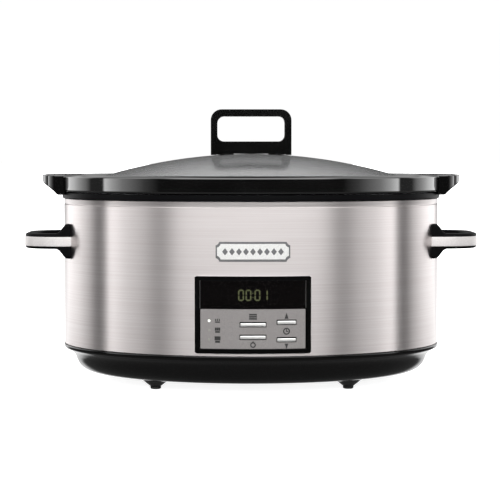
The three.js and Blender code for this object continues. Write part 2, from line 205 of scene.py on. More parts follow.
def lit_segment():
    """A lit pale green diode segment under a milky diffuser."""
    material, tree, lamp = new_finish("lit_green_diode", "A3AC78", Roughness=0.4, Emission_Strength=5.0)
    glow = grain(tree, (3 * MM, 3 * MM, 3 * MM), detail=0.0)
    ramp = add_node(tree, "ValToRGB", {"Fac": (glow, "Fac")})
    ramp.color_ramp.elements[0].color = linear("A9B27C")
    ramp.color_ramp.elements[1].color = linear("C4CC98")
    tree.links.new(ramp.outputs["Color"], lamp.inputs["Emission Color"])
    return material


def green_board():
    """Glass epoxy board under green solder mask, with paler copper tracks beneath it."""
    material, tree, board = new_finish("solder_masked_epoxy", "1E5B37", Roughness=0.35, IOR=1.5)
    tracks = add_node(tree, "TexBrick", {
        "Vector": (on_piece(tree, (6.25 * MM, 6.25 * MM, 6.25 * MM)), "Vector"), "Scale": 1.0,
        "Color1": linear("1B5433"), "Color2": linear("216240"), "Mortar": linear("2F7C4D"),
        "Mortar Size": 0.04})
    tree.links.new(tracks.outputs["Color"], board.inputs["Base Color"])
    return material


def heater_sleeve():
    """Woven glass fibre sleeve over the heater wire: cream, with an even plain weave."""
    material, tree, cloth = new_finish("woven_glass_sleeve", "D5CDB6", Roughness=0.85)
    weave = add_node(tree, "TexChecker", {
        "Vector": (on_piece(tree, (2 * MM, 2 * MM, 2 * MM)), "Vector"), "Scale": 1.0,
        "Color1": linear("DED7C2"), "Color2": linear("C5BCA3")})
    tree.links.new(weave.outputs["Color"], cloth.inputs["Base Color"])
    relief(tree, cloth, weave, 0.3, 0.2 * MM)
    return material


def ribbon_sleeve():
    """Grey PVC ribbon cable, ribbed along its wires 1.3 mm apart."""
    material, tree, cable = new_finish("grey_pvc_ribbon", "8F8F90", Roughness=0.5)
    wires = add_node(tree, "TexWave", {
        "Vector": (on_piece(tree, (1.3 * MM, 1, 1)), "Vector"), "Scale": 0.318}, bands_direction="X")
    tint(tree, cable, wires, "7C7C7E", "A2A2A2")
    relief(tree, cable, wires, 0.4, 0.3 * MM)
    return material


STEEL = brushed_stainless()
LIT = lit_segment()
BOARD = green_board()
SLEEVE = heater_sleeve()
RIBBON = ribbon_sleeve()

# stainless strip with a blasted satin face: even and pale, with no grain direction
SATIN_STEEL = mottled(
    "satin_stainless_strip", "E0DCDB", 0.9 * MM, Metallic=1.0, Roughness=0.5,
    shades=("D8D4D3", "E8E5E4"), rough=(0.44, 0.56))
# hot-dipped aluminised steel, drawn and left bare: pale grey, with a soft cloudy spangle
ALUMINISED = mottled(
    "aluminised_steel_sheet", "B4B6B8", 9 * MM, detail=4.0, Metallic=1.0, Roughness=0.38,
    shades=("A3A6A9", "C3C5C6"), rough=(0.3, 0.48), bump=(0.1, 0.05 * MM))
# bright zinc plating on pressed steel: cool grey and faintly mottled
ZINC = mottled(
    "zinc_plated_steel", "C2C4C6", 1.5 * MM, Metallic=1.0, Roughness=0.3,
    shades=("B0B3B6", "CDCFD1"), rough=(0.22, 0.4))
# gloss black glaze fired on stoneware: deep and wet-looking, with a slow ripple where the glaze ran
GLAZE = mottled(
    "black_glazed_stoneware", "020202", 26 * MM, detail=1.0, Roughness=0.06, IOR=1.68,
    Coat_Weight=1.0, Coat_Roughness=0.03, shades=("010101", "040404"), bump=(0.1, 0.12 * MM))
# pressed toughened soda glass, faintly grey: its pressed skin softens what it mirrors
GLASS = mottled(
    "toughened_soda_glass", "DCDDDE", 60 * MM, detail=0.0, Roughness=0.2, IOR=1.52,
    Transmission_Weight=1.0, bump=(0.05, 0.2 * MM))
# moulded black polypropylene with a fine spark-eroded skin
BLACK = mottled(
    "moulded_black_polypropylene", "020203", 0.7 * MM, Roughness=0.36, IOR=1.49,
    Specular_IOR_Level=0.05, shades=("030304", "060607"), rough=(0.28, 0.44), bump=(0.15, 0.03 * MM))
# the same polypropylene where the mould is polished: glossy, with a slight waviness from shrinkage
GLOSS_BLACK = mottled(
    "gloss_black_polypropylene", "020202", 18 * MM, detail=1.0, Roughness=0.14, IOR=1.49,
    rough=(0.11, 0.18), bump=(0.06, 0.06 * MM))
# compression-moulded black phenolic, polished by its mould, with the faint waviness of the press
PHENOLIC = mottled(
    "polished_black_phenolic", "020202", 14 * MM, detail=1.0, Roughness=0.1, IOR=1.55,
    Coat_Weight=0.3, Coat_Roughness=0.04, rough=(0.08, 0.12), bump=(0.06, 0.06 * MM))
# warm grey satin lacquer sprayed on a moulded plate: a fine pearl fleck in a soft sheen
LACQUER = mottled(
    "grey_satin_lacquer", "6D6A69", 0.6 * MM, detail=3.0, Roughness=0.42, Metallic=0.3,
    shades=("646160", "777473"), rough=(0.36, 0.52))
# polished smoked acrylic: nearly black, letting a bright digit through
SMOKED = mottled(
    "smoked_acrylic", "060505", 20 * MM, detail=0.0, Roughness=0.05, IOR=1.49, Alpha=0.8,
    bump=(0.04, 0.05 * MM))
# satin chromed moulding: pale and bright, with the softness of plating over a blasted plastic
CHROME = mottled(
    "satin_chromed_plastic", "F2F2F0", 3 * MM, Metallic=1.0, Roughness=0.35, rough=(0.3, 0.4))
# stamped aluminium, satin anodised: pale, with a very fine blast
BADGE = mottled(
    "satin_anodised_aluminium", "E2E2E0", 0.8 * MM, Metallic=0.85, Roughness=0.36,
    shades=("D6D6D4", "ECECEA"), rough=(0.3, 0.45))
# black screen ink, cured satin
DARK_INK = mottled("black_screen_ink", "121212", 2 * MM, Roughness=0.5, rough=(0.42, 0.58))
# grey stoving enamel run into the pressed badge: smooth, with a faint orange peel
ENAMEL = mottled(
    "grey_stoving_enamel", "505051", 1.2 * MM, Roughness=0.3, IOR=1.5,
    shades=("4A4A4B", "575758"), bump=(0.08, 0.02 * MM))
# an unlit diode segment: dark olive grey
UNLIT = mottled("unlit_diode", "20221C", 2 * MM, Roughness=0.45, shades=("1B1D18", "262822"))
# clear moulded light pipe, white when lit
PIPE = mottled(
    "milky_light_pipe", "D8DCD2", 1 * MM, Roughness=0.25, Emission_Strength=0.15,
    Emission_Color=linear("F2F6E8"), rough=(0.2, 0.35))
# the same clear moulding with its lamp off: the grey of the plate behind shows through
DARK_PIPE = mottled("unlit_light_pipe", "6F6E69", 1 * MM, Roughness=0.25, rough=(0.2, 0.35))
# black moulded rubber: matt, dusty in its pores
RUBBER = mottled(
    "black_moulded_rubber", "171717", 0.9 * MM, detail=3.0, Roughness=0.8,
    shades=("121212", "202020"), bump=(0.25, 0.05 * MM))


# ---------- modelling helpers ----------
FRONT_PLANE = -200 * MM  # where flat plates are drawn before they are laid on the shell
UPRIGHT = (math.radians(90), 0, 0)  # turns a flat primitive to face the front
FACING_SIDE = (math.radians(90), 0, math.radians(90))  # turns it to face the right


def millimetres(points, level=0.0):
    """Profile points given in millimetres, with their heights counted from this level."""
    return [(a * MM, level + b * MM) for a, b in points]


def start(add, name, **place):
    """Adds a primitive on its own, names it and opens it for editing with all of it selected."""
    bpy.ops.object.select_all(action="DESELECT")
    add(**place)
    piece = bpy.context.active_object
    piece.name = name
    bpy.ops.object.mode_set(mode="EDIT")
    bpy.ops.mesh.select_all(action="SELECT")
    return piece


def close(piece):
    """Leaves edit mode and moves the object's place into its mesh."""
    bpy.ops.object.mode_set(mode="OBJECT")
    bpy.ops.object.select_all(action="DESELECT")
    piece.select_set(True)
    bpy.context.view_layer.objects.active = piece
    bpy.ops.object.transform_apply(location=True, rotation=True, scale=True)
    return piece


def refine(piece, kind, **settings):
    """Adds a modifier with these settings and applies it."""
    modifier = piece.modifiers.new(kind.title(), kind)
    for name, value in settings.items():
        setattr(modifier, name, value)
    bpy.context.view_layer.objects.active = piece
    bpy.ops.object.modifier_apply(modifier=modifier.name)
    return piece


def soften(piece, width, segments=3, sharp=35):
    """Rounds every edge sharper than this angle."""
    return refine(piece, "BEVEL", width=width, segments=segments, limit_method="ANGLE",
                  angle_limit=math.radians(sharp), use_clamp_overlap=True, miter_outer="MITER_ARC")


def fuse(piece, *others, operation="UNION"):
    """Joins other solids to a piece, or cuts them out of it, and uses them up."""
    for other in others:
        refine(piece, "BOOLEAN", object=other, operation=operation, solver="EXACT")
        bpy.data.objects.remove(other)
    return piece


def gather(name, pieces):
    """Puts several meshes together as one piece."""
    bpy.ops.object.select_all(action="DESELECT")
    for piece in pieces:
        piece.select_set(True)
    bpy.context.view_layer.objects.active = pieces[0]
    bpy.ops.object.join()
    pieces[0].name = name
    return pieces[0]


def copy_of(piece, name, shift=(0, 0, 0), mirror=False):
    """A copy with its own mesh, moved, or mirrored left to right with its faces turned back out."""
    bpy.ops.object.select_all(action="DESELECT")
    twin = piece.copy()
    twin.data = piece.data.copy()
    twin.name = name
    bpy.context.scene.collection.objects.link(twin)
    twin.select_set(True)
    bpy.context.view_layer.objects.active = twin
    bpy.ops.object.mode_set(mode="EDIT")
    bpy.ops.mesh.select_all(action="SELECT")
    bpy.ops.transform.translate(value=shift)
    if mirror:
        bpy.ops.transform.resize(value=(-1, 1, 1), center_override=(0, 0, 0))
        bpy.ops.mesh.flip_normals()
    bpy.ops.object.mode_set(mode="OBJECT")
    return twin


def finish_piece(piece, material, slot, body, *nodes, smooth=35):
    """Gives a piece its material, smooth shading and body, and hides the nodes it stands for. Its slot is
    not used.
    """
    bpy.ops.object.select_all(action="DESELECT")
    piece.select_set(True)
    bpy.context.view_layer.objects.active = piece
    bpy.ops.object.shade_smooth_by_angle(angle=math.radians(smooth))
    refine(piece, "WEIGHTED_NORMAL", keep_sharp=True)
    piece.data.materials.clear()
    piece.data.materials.append(material)
    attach(piece, body)
    if nodes:
        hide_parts(*nodes)
    return piece


def draw_rings(profile):
    """From the selected ring, draws a wall through each next (radius, height) of the profile."""
    radius, height = profile[0]
    for next_radius, next_height in profile[1:]:
        bpy.ops.mesh.extrude_edges_move(TRANSFORM_OT_translate={"value": (0, 0, next_height - height)})
        grown = max(next_radius, TINY) / max(radius, TINY)
        bpy.ops.transform.resize(value=(grown, grown, 1), center_override=(0, 0, next_height))
        radius, height = next_radius, next_height
    bpy.ops.mesh.select_all(action="SELECT")
    bpy.ops.mesh.remove_doubles(threshold=1e-6)
    bpy.ops.mesh.normals_make_consistent(inside=False)


def drawn_round(name, profile, sides):
    """A round shell from (radius, height) points, open for editing."""
    radius, height = profile[0]
    piece = start(bpy.ops.mesh.primitive_circle_add, name, vertices=sides,
                  radius=max(radius, TINY), location=(0, 0, height))
    draw_rings(profile)
    return piece


def oval(name, profile, sides=OVAL_SIDES):
    """An oval piece from (half width, height) points, drawn round and then pressed in at front and back."""
    piece = drawn_round(name, profile, sides)
    bpy.ops.transform.resize(value=(1, DEPTH, 1), center_override=(0, 0, 0))
    return close(piece)


def turned(name, profile, x=0, y=0, sides=48):
    """A round piece on an upright axis, from (radius, height) points."""
    piece = drawn_round(name, profile, sides)
    bpy.ops.transform.translate(value=(x, y, 0))
    return close(piece)


def block(name, lowest, highest):
    """A box between two corners, open for editing."""
    lowest, highest = Vector(lowest), Vector(highest)
    centre = (highest + lowest) / 2
    piece = start(bpy.ops.mesh.primitive_cube_add, name, size=1, location=centre)
    bpy.ops.transform.resize(value=highest - lowest, center_override=centre)
    return piece


def upright_plate(name, left, right, bottom, top, corner, front=FRONT_PLANE, segments=6):
    """A flat plate facing the front, with rounded corners, open for editing."""
    centre = Vector(((left + right) / 2, front, (bottom + top) / 2))
    piece = start(bpy.ops.mesh.primitive_plane_add, name, size=1, location=centre, rotation=UPRIGHT)
    bpy.ops.transform.resize(value=(right - left, 1, top - bottom), center_override=centre)
    if corner:
        bpy.ops.mesh.bevel(offset=corner, segments=segments, affect="VERTICES")
    return piece


def lay_on_shell(piece, stand_off, thickness, edge, strips=4 * MM):
    """Cuts a plate into upright strips, lays it this far in front of the shell and gives it thickness."""
    close(piece)
    bpy.ops.object.mode_set(mode="EDIT")
    across = [v.co.x for v in piece.data.vertices]
    left, width = min(across), max(across) - min(across)
    count = max(2, round(width / strips))
    for k in range(1, count):
        x = left + width * k / count
        bpy.ops.mesh.select_all(action="SELECT")
        bpy.ops.mesh.bisect(plane_co=(x, 0, 0), plane_no=(1, 0, 0))
    bpy.ops.object.mode_set(mode="OBJECT")
    around = SHELL_X + stand_off / DEPTH
    guide = oval("guide", [(around, 0), (around, cad_box[1][2])], sides=720)
    refine(piece, "SHRINKWRAP", target=guide, wrap_method="PROJECT", use_project_y=True)
    bpy.data.objects.remove(guide)
    refine(piece, "SOLIDIFY", thickness=thickness, offset=1, use_even_offset=True)
    if edge:
        soften(piece, edge, segments=2, sharp=50)
    return piece


# ---------- the casing ----------
def outer_shell():
    """Sheet steel wrapped to an oval, with a hem above a small step and a lock seam at the back."""
    bottom, top, wall = low("outer_shell"), high("outer_shell"), 0.9 * MM
    step = top - 5 * MM
    x, stepped = SHELL_X, SHELL_X - 0.5 * MM
    skin = oval("shell_skin", [
        (x - wall, top), (x - 0.4 * MM, top), (x - 0.05 * MM, top - 0.4 * MM), (stepped, step + 0.5 * MM),
        (stepped, step + 0.1 * MM), (stepped, step - 0.2 * MM), (x, step - 0.7 * MM),
        (x, bottom + 0.6 * MM), (stepped, bottom), (x - wall, bottom), (x - wall, top)])
    window = block("window", (-48 * MM, -150 * MM, PANEL_LOW + 5.3 * MM),
                   (48 * MM, -120 * MM, PANEL_HIGH - 4.8 * MM))
    fuse(skin, close(window), operation="DIFFERENCE")
    finish_piece(skin, STEEL, "shell_steel", "base", "outer_shell", smooth=25)
    seam = close(block("shell_seam", (-4 * MM, SHELL_Y - 0.4 * MM, bottom + 1 * MM),
                       (4 * MM, SHELL_Y + 0.5 * MM, step - 2 * MM)))
    soften(seam, 0.35 * MM, segments=2)
    finish_piece(seam, STEEL, "shell_steel", "base")


def top_trim():
    """The moulded ring that caps the shell, with a lip that hides the well's flange."""
    x, bottom, top = half_width("top_trim_ring"), low("top_trim_ring"), high("top_trim_ring")
    seat, foot = top - 1.4 * MM, high("outer_shell") + 0.3 * MM
    ring = oval("top_trim", [
        (x - 3 * MM, bottom), (x - 3 * MM, foot), (x, foot), (x, top), (x - 6 * MM, top), (x - 6 * MM, seat),
        (x - 11.6 * MM, seat), (x - 11.6 * MM, seat - 2 * MM), (x - 5.4 * MM, seat - 2 * MM),
        (x - 5.4 * MM, bottom), (x - 3 * MM, bottom)])
    soften(ring, 0.6 * MM)
    finish_piece(ring, BLACK, "black_plastic", "base", "top_trim_ring")


def bezier(start_point, pull_start, pull_end, end_point, count):
    """Points along one smooth curve from the start to the end, both included."""
    points = []
    for k in range(count + 1):
        t = k / count
        weights = ((1 - t) ** 3, 3 * t * (1 - t) ** 2, 3 * t * t * (1 - t), t ** 3)
        corners = (start_point, pull_start, pull_end, end_point)
        points.append(tuple(sum(w * c[axis] for w, c in zip(weights, corners)) for axis in (0, 1)))
    return points


FOOT_BODIES = ("foot_front_right", "foot_front_left", "foot_back_right", "foot_back_left")


def base_pan():
    """The moulded bowl under the shell, its rolled flange, and the four cones that hold the feet."""
    outside = bezier((146, 9.3), (160, 9.3), (167.6, 13), (170.4, 21.4), 8)
    shoulder = bezier((170.4, 21.4), (171.8, 26.8), (174.6, 29.8), (179.4, 31.9), 6)
    flange = [(181.6, 32.9), (182.4, 33.9), (182.4, 36.8), (180.8, 36.8), (180.8, 40.4), (178.4, 40.4),
              (178.4, 35)]
    inside = bezier((170.4, 29.8), (165, 18), (160, 12.2), (144, 12.2), 6)
    mouth = [(110, 12.2), (110, 10.9), (116, 10.9), (116, 9.3)]
    pan = oval("base_bowl", millimetres(outside + shoulder[1:] + flange + inside + mouth + outside[:1]), 160)
    for node in FOOT_BODIES:
        at = middle(node)
        fuse(pan, turned("cone", millimetres([
            (0, 2.7), (5.2, 2.7), (6.1, 3.3), (10.6, 6.7), (14.4, 9.5), (15.2, 11.6), (0, 11.6)]),
            at.x, at.y, 40))
    soften(pan, 0.5 * MM, segments=2, sharp=40)
    finish_piece(pan, GLOSS_BLACK, "black_plastic", "base", "base_pan", smooth=40)


def rubber_feet():
    for node in FOOT_BODIES:
        at = middle(node)
        foot = turned(node.replace("foot", "rubber_foot"), millimetres([
            (0, 0.5), (2.8, 0.5), (3.2, 0), (4.2, 0), (5, 0.8), (5.1, 2.4), (2.1, 2.4), (2.1, 8.6),
            (0, 8.6)]), at.x, at.y, 40)
        soften(foot, 0.3 * MM, segments=2)
        finish_piece(foot, RUBBER, "rubber", "base", node)


def bottom_cover():
    """The screwed-on cover under the base: a stepped rim, a recess for its nut and two rows of vents."""
    cover = oval("bottom_cover", millimetres([
        (0, 14), (16, 14), (18, 13.4), (21, 10.2), (23, 9.5), (96, 9.5), (98, 10.1), (104, 10.1), (106, 9.5),
        (115.2, 9.5), (115.2, 10.6), (22.6, 10.6), (17.4, 15.2), (0, 15.2)]), 128)
    slots = []
    for side in (-1, 1):
        for k in range(7):
            x = side * (40 + 7 * k) * MM
            slot = close(block("slot", (x - 1.4 * MM, -20 * MM, 7 * MM), (x + 1.4 * MM, 20 * MM, 13 * MM)))
            slots.append(soften(slot, 1.2 * MM, segments=3))
    hole = turned("hole", millimetres([(0, 5), (3.5, 5), (3.5, 20), (0, 20)]), sides=32)
    fuse(cover, gather("slots", slots), hole, operation="DIFFERENCE")
    finish_piece(cover, BLACK, "black_plastic", "base", "bottom_plate")


def cord_entry():
    """The empty rubber gland at the back, ribbed outside the casing."""
    at = middle("cord_gland")
    inner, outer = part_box("cord_gland")[0].y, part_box("cord_gland")[1].y
    gland = start(bpy.ops.mesh.primitive_circle_add, "cord_entry", vertices=40, radius=3.4 * MM)
    draw_rings(millimetres([
        (3.4, 0), (5.1, 0), (5.1, 2), (4.4, 2), (4.4, 15.1), (5.9, 15.1), (5.9, 16.2), (5, 16.6), (5, 17.1)])
        + [(4.9 * MM, outer - inner), (3.4 * MM, outer - inner), (3.4 * MM, 0)])
    bpy.ops.object.mode_set(mode="OBJECT")
    gland.rotation_euler = (math.radians(-90), 0, 0)
    gland.location = (at.x, inner, at.z)
    close(gland)
    soften(gland, 0.3 * MM, segments=2)
    finish_piece(gland, RUBBER, "rubber", "base", "cord_gland")


def heating_well():
    """The drawn well that the crock stands in, with a round pressing in its floor."""
    top = high("heating_well")
    flange, wall = half_width("heating_well"), 1.2 * MM
    corner = bezier((142, 47), (153, 47), (160.4, 51), (161, 60), 6)
    inside = millimetres([(0, 48.6), (36, 48.6), (40, 48.2), (43, 47)] + corner)
    mouth = [(169 * MM, top - 1.4 * MM), (170.4 * MM, top), (flange, top), (flange, top - wall),
             (170.9 * MM, top - wall)]
    outside = millimetres([(162.2, 60), (154.6, 49), (142, 45.9), (42, 45.9), (36, 47.4), (0, 47.4)])
    well = oval("drawn_well", inside + mouth + outside)
    finish_piece(well, ALUMINISED, "aluminised_steel", "base", "heating_well", smooth=30)


# ---------- side grips ----------
LEG_END = 186 * MM  # where a grip's straight leg meets its bend and its flare starts


def grip_path(inset, leg_start):
    """Plan of the right grip from one leg to the other, this far in from its outer edge, as (x, y)."""
    reach, side, steps = half_width("right_grip"), inset - 47 * MM, 8
    bend = bezier((LEG_END, side + 1 * MM), (206 * MM, side + 3 * MM), (reach - inset, side + 14 * MM),
                  (reach - inset, -18 * MM), 12)
    leg = [(leg_start + (LEG_END - leg_start) * k / steps, bend[0][1] - (steps - k) * 0.015 * MM)
           for k in range(steps)]
    front = leg + bend + [(reach - inset, -6 * MM)]
    return front + [(x, -y) for x, y in reversed(front)]


def sweep(name, path, thickness, height_at, level):
    """Carries an upright section along a plan path; its height may change with X."""
    def heading(k):
        before, after = path[max(k - 1, 0)], path[min(k + 1, len(path) - 1)]
        return math.atan2(after[1] - before[1], after[0] - before[0])

    x, y = path[0]
    piece = start(bpy.ops.mesh.primitive_plane_add, name, size=1, location=(x, y, level),
                  rotation=FACING_SIDE)
    bpy.ops.transform.resize(value=(1, thickness, height_at(x)), center_override=(x, y, level))
    turn, tall = 0.0, height_at(x)
    for k in range(1, len(path)):
        next_x, next_y = path[k]
        bpy.ops.mesh.extrude_region_move(TRANSFORM_OT_translate={"value": (next_x - x, next_y - y, 0)})
        x, y = next_x, next_y
        here = (x, y, level)
        # with no window the rotate tool turns backwards
        bpy.ops.transform.rotate(value=turn - heading(k), orient_axis="Z", center_override=here)
        bpy.ops.transform.resize(value=(1, 1, height_at(x) / tall), center_override=here)
        turn, tall = heading(k), height_at(x)
    bpy.ops.mesh.select_all(action="SELECT")
    bpy.ops.mesh.normals_make_consistent(inside=False)
    return close(piece)


def side_grips():
    """A moulded loop on each end that flares where it meets the shell, with a steel band round its edge."""
    level = middle("right_grip").z
    bar = 14.8 * MM
    flare = high("right_grip") - low("right_grip")

    def grip_height(x):
        rise = min(max((LEG_END - x) / (10 * MM), 0), 1)
        return bar + (flare - bar) * (3 * rise ** 2 - 2 * rise ** 3)

    body = sweep("grip_right", grip_path(6.2 * MM, 168 * MM), 11.4 * MM, grip_height, level)
    soften(body, 2.2 * MM, segments=4, sharp=60)
    band_low, band_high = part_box("right_grip_band")
    band = sweep("grip_band_right", grip_path(0.9 * MM, band_low.x - 3 * MM), 1.8 * MM,
                 lambda x: band_high.z - band_low.z, middle("right_grip_band").z)
    soften(band, 0.5 * MM, segments=2, sharp=60)
    pairs = {"left": (copy_of(body, "grip_left", mirror=True), copy_of(band, "grip_band_left", mirror=True)),
             "right": (body, band)}
    for side, (grip, strip) in pairs.items():
        finish_piece(grip, BLACK, "black_plastic", "base", side + "_grip", smooth=40)
        finish_piece(strip, SATIN_STEEL, "shell_steel", "base", side + "_grip_band", smooth=40)


# ---------- crock and lid ----------
RIM_TALL = 16.7 * MM  # height of the glazed band round the crock's mouth
RIM_OUT = 186 * MM  # its half width


def crock():
    """The stoneware pot: a deep band round its mouth, a ledge for the lid and a lug at each end."""
    top, ledge, floor = high("crock"), low("lid_glass") - 0.3 * MM, 61 * MM
    under = top - RIM_TALL
    inside = [(0, floor), (128 * MM, floor)]
    inside += millimetres(bezier((136, 61), (146, 61.6), (150, 66), (151, 78), 6))
    seat = millimetres([(158.6, -5.5), (159.6, -1.4), (161.6, 0), (170.4, 0)], ledge)
    edge = millimetres([(171.6, -4), (172.3, -0.9), (173.2, -0.1), (174, 0), (183.4, 0), (184, -0.15),
                        (185.75, -1.8), (186, -2.3), (186, -2.8)], top)
    hem = millimetres([(186, 2.4), (186, 1.9), (185.4, 0.8), (183.6, 0.1), (169, 0.1), (166.6, -2),
                       (166, -5)], under)
    outside = millimetres([(157.6, 70)] + bezier((157, 66), (155.6, 57), (152, 52.5), (140, 52.5), 6))
    base = [(134 * MM, low("crock")), (130 * MM, 54 * MM), (0, 54 * MM)]
    pot = oval("stoneware_crock", inside + seat + edge + hem + outside + base)
    lug = crock_lug(top, under)
    fuse(pot, copy_of(lug, "lug_left", mirror=True), lug)
    finish_piece(pot, GLAZE, "black_glaze", "crock", "crock", smooth=38)


def crock_lug(top, under):
    """One lug, drawn out of the rim in steps: flat on top, tapering in plan and rising underneath."""
    reach = half_width("crock")
    start_x, steps = 178 * MM, 18
    half = height = 1.0
    piece = start(bpy.ops.mesh.primitive_plane_add, "lug_right", size=1,
                  location=(start_x, 0, top - height / 2), rotation=FACING_SIDE)
    x = start_x
    for k in range(steps + 1):
        next_x = start_x + (reach - start_x) * k / steps
        if k:
            bpy.ops.mesh.extrude_region_move(TRANSFORM_OT_translate={"value": (next_x - x, 0, 0)})
        x = next_x
        out = (x - start_x) / (reach - start_x)  # 0 inside the rim, 1 at the tip
        next_half = 2 * (17 + 20 * (1 - out ** 2.6) ** 0.5) * MM
        rise = min(max((x - RIM_OUT) / (reach - RIM_OUT), 0), 1)
        next_height = top - (under - 2.6 * MM + 12.4 * MM * rise ** 0.8)
        at = (x, 0, top)
        bpy.ops.transform.resize(value=(1, next_half / half, next_height / height), center_override=at)
        half, height = next_half, next_height
    bpy.ops.mesh.select_all(action="SELECT")
    bpy.ops.mesh.normals_make_consistent(inside=False)
    close(piece)
    return soften(piece, 2.2 * MM, segments=5, sharp=50)


def lid_dome():
    """The pressed glass dome: a shallow curve, a flatter brim and a ground round edge."""
    top, edge_low, edge = high("lid_glass"), low("lid_glass"), half_width("lid_glass")
    brim, drop, glass = 154 * MM, 24.6 * MM, 4 * MM
    rings = 22

    def dome(radius):
        return top - drop * (radius / brim) ** 2

    outside = [(brim * k / rings, dome(brim * k / rings)) for k in range(rings + 1)]
    inside = [(max(r - 1.4 * MM, 0), z - glass) for r, z in outside]
    half = 1.65 * MM
    lip = edge_low + 2 * half
    rim = millimetres([(156.4, 0.35), (159, 0.05), (163, 0), (167, 0)], lip)
    turn = [(edge - half + half * math.cos(a), edge_low + half + half * math.sin(a))
            for a in (math.radians(75 - 30 * k) for k in range(6))]
    under = millimetres([(164, 0), (159.4, 0)], edge_low)
    lid = oval("glass_lid", outside + rim + turn + under + inside[::-1])
    holes = [turned("hole", millimetres([(0, 200), (3, 200), (3, 230), (0, 230)]), side * SCREW_X, sides=32)
             for side in (-1, 1)]
    fuse(lid, *holes, operation="DIFFERENCE")
    finish_piece(lid, GLASS, "lid_glass", "lid", "lid_glass", smooth=40)


def lid_handle():
    """The black loop on the lid, rounded outside and in, with a shallow arch between its two toes."""
    lowest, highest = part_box("lid_handle")
    half, depth = highest.x, 2 * highest.y
    press, skim = 0.4 * MM, 0.02 * MM  # how far the toes bed into their pads, and the polish off the top
    loop = close(block("handle_loop", lowest - press * UP, highest - skim * UP))
    round_upright(loop, 10.5 * MM, lambda z: z > 0)
    gap = close(block("gap", (6.4 * MM - half, -depth, lowest.z + 12.8 * MM),
                      (half - 6.4 * MM, depth, highest.z - 7 * MM)))
    round_upright(gap, 6.4 * MM, lambda z: True)
    arch = close(block("arch", (5.6 * MM - half, -depth, lowest.z - 10 * MM),
                       (half - 5.6 * MM, depth, lowest.z + 0.75 * MM)))
    round_upright(arch, 1.2 * MM, lambda z: z > 0)
    fuse(loop, gap, arch, operation="DIFFERENCE")
    soften(loop, 2.2 * MM, segments=6, sharp=50)
    finish_piece(loop, PHENOLIC, "gloss_plastic", "lid", "lid_handle", smooth=40)


def round_upright(piece, radius, wanted):
    """Rounds the corner edges of a block that run front to back, above or below its middle."""
    level = sum(v.co.z for v in piece.data.vertices) / len(piece.data.vertices)
    bpy.ops.object.mode_set(mode="EDIT")
    bpy.ops.mesh.select_mode(type="EDGE")
    bpy.ops.mesh.select_all(action="DESELECT")
    bpy.ops.object.mode_set(mode="OBJECT")
    for edge in piece.data.edges:
        a, b = (piece.data.vertices[v].co for v in edge.vertices)
        edge.select = abs(a.y - b.y) > 1 * MM and wanted(a.z - level)
    bpy.ops.object.mode_set(mode="EDIT")
    bpy.ops.mesh.bevel(offset=radius, segments=8, affect="EDGES")
    bpy.ops.mesh.select_mode(type="VERT")
    bpy.ops.object.mode_set(mode="OBJECT")


def lid_fittings():
    """Under each end of the handle: a rubber gasket on the glass, and a washer and screw beneath it."""
    for side, word in ((-1, "left"), (1, "right")):
        x = side * SCREW_X
        # the gasket is pressed down on to the slope of the glass
        for kind, radius, sunk in (("gasket", 8.2 * MM, 0.9 * MM), ("washer", 8 * MM, 0)):
            node = f"lid_{kind}_{word}"
            bottom, top, bore = low(node) - sunk, high(node), 3.2 * MM
            ring = turned(f"{kind}_{word}", [
                (bore, bottom), (radius, bottom), (radius, top), (bore, top), (bore, bottom)], x)
            soften(ring, 0.25 * MM, segments=2)
            finish_piece(ring, RUBBER, "rubber", "lid", node)
        head, end = low("lid_screw_" + word), high("lid_screw_" + word)
        screw = turned("screw_" + word, millimetres([
            (0, 0), (3, 0), (4.6, 0.7), (5.4, 1.8), (5.4, 3.1), (2.4, 3.1)], head)
            + [(2.4 * MM, end), (0, end)], x)
        slot = close(block("slot", (x - 0.6 * MM, -4 * MM, head - 1 * MM),
                           (x + 0.6 * MM, 4 * MM, head + 1 * MM)))
        fuse(screw, slot, operation="DIFFERENCE")
        finish_piece(screw, ZINC, "plated_steel", "lid", "lid_screw_" + word)


# ---------- badge and controls ----------
def badge():
    """A pressed badge: a grey enamel line round a bright field, with a row of plain lozenges."""
    lowest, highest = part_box("badge")
    left, right = lowest.x, highest.x
    rim = notched_plate("badge_enamel", left, right, lowest.z, highest.z)
    lay_on_shell(rim, 0.1 * MM, 1.0 * MM, 0.3 * MM)
    finish_piece(rim, ENAMEL, "badge_metal", "base")
    side, line = 1.2 * MM, 2 * MM
    field = notched_plate("badge_field", left + side, right - side, lowest.z + line, highest.z - line)
    lay_on_shell(field, 1.1 * MM, 0.42 * MM, 0.15 * MM)
    finish_piece(field, BADGE, "badge_metal", "base", "badge", smooth=12)
    level = (lowest.z + highest.z) / 2
    motif = gather("badge_motif", [lozenge(k * 6.3 * MM, level, 2.6 * MM, 3.3 * MM) for k in range(-4, 5)])
    lay_on_shell(motif, 1.52 * MM, 0.14 * MM, 0, strips=1.5 * MM)
    finish_piece(motif, ENAMEL, "badge_metal", "base")


def flat_disc(name, sides, radius, x, z):
    """A flat filled shape of this many sides, facing the front, open for editing."""
    return start(bpy.ops.mesh.primitive_circle_add, name, vertices=sides, radius=radius, fill_type="NGON",
                 location=(x, FRONT_PLANE, z), rotation=UPRIGHT)


def notched_plate(name, left, right, bottom, top):
    """A flat plate with its corners scooped in; left open for editing."""
    plate = upright_plate(name, left, right, bottom, top, 0)
    bpy.ops.mesh.bevel(offset=3.2 * MM, segments=6, affect="VERTICES", profile=0.12)
    return plate


def lozenge(x, z, half_w, half_h):
    """An upright diamond."""
    piece = flat_disc("lozenge", 4, half_w, x, z)
    bpy.ops.transform.resize(value=(1, 1, half_h / half_w), center_override=(x, FRONT_PLANE, z))
    return close(piece)


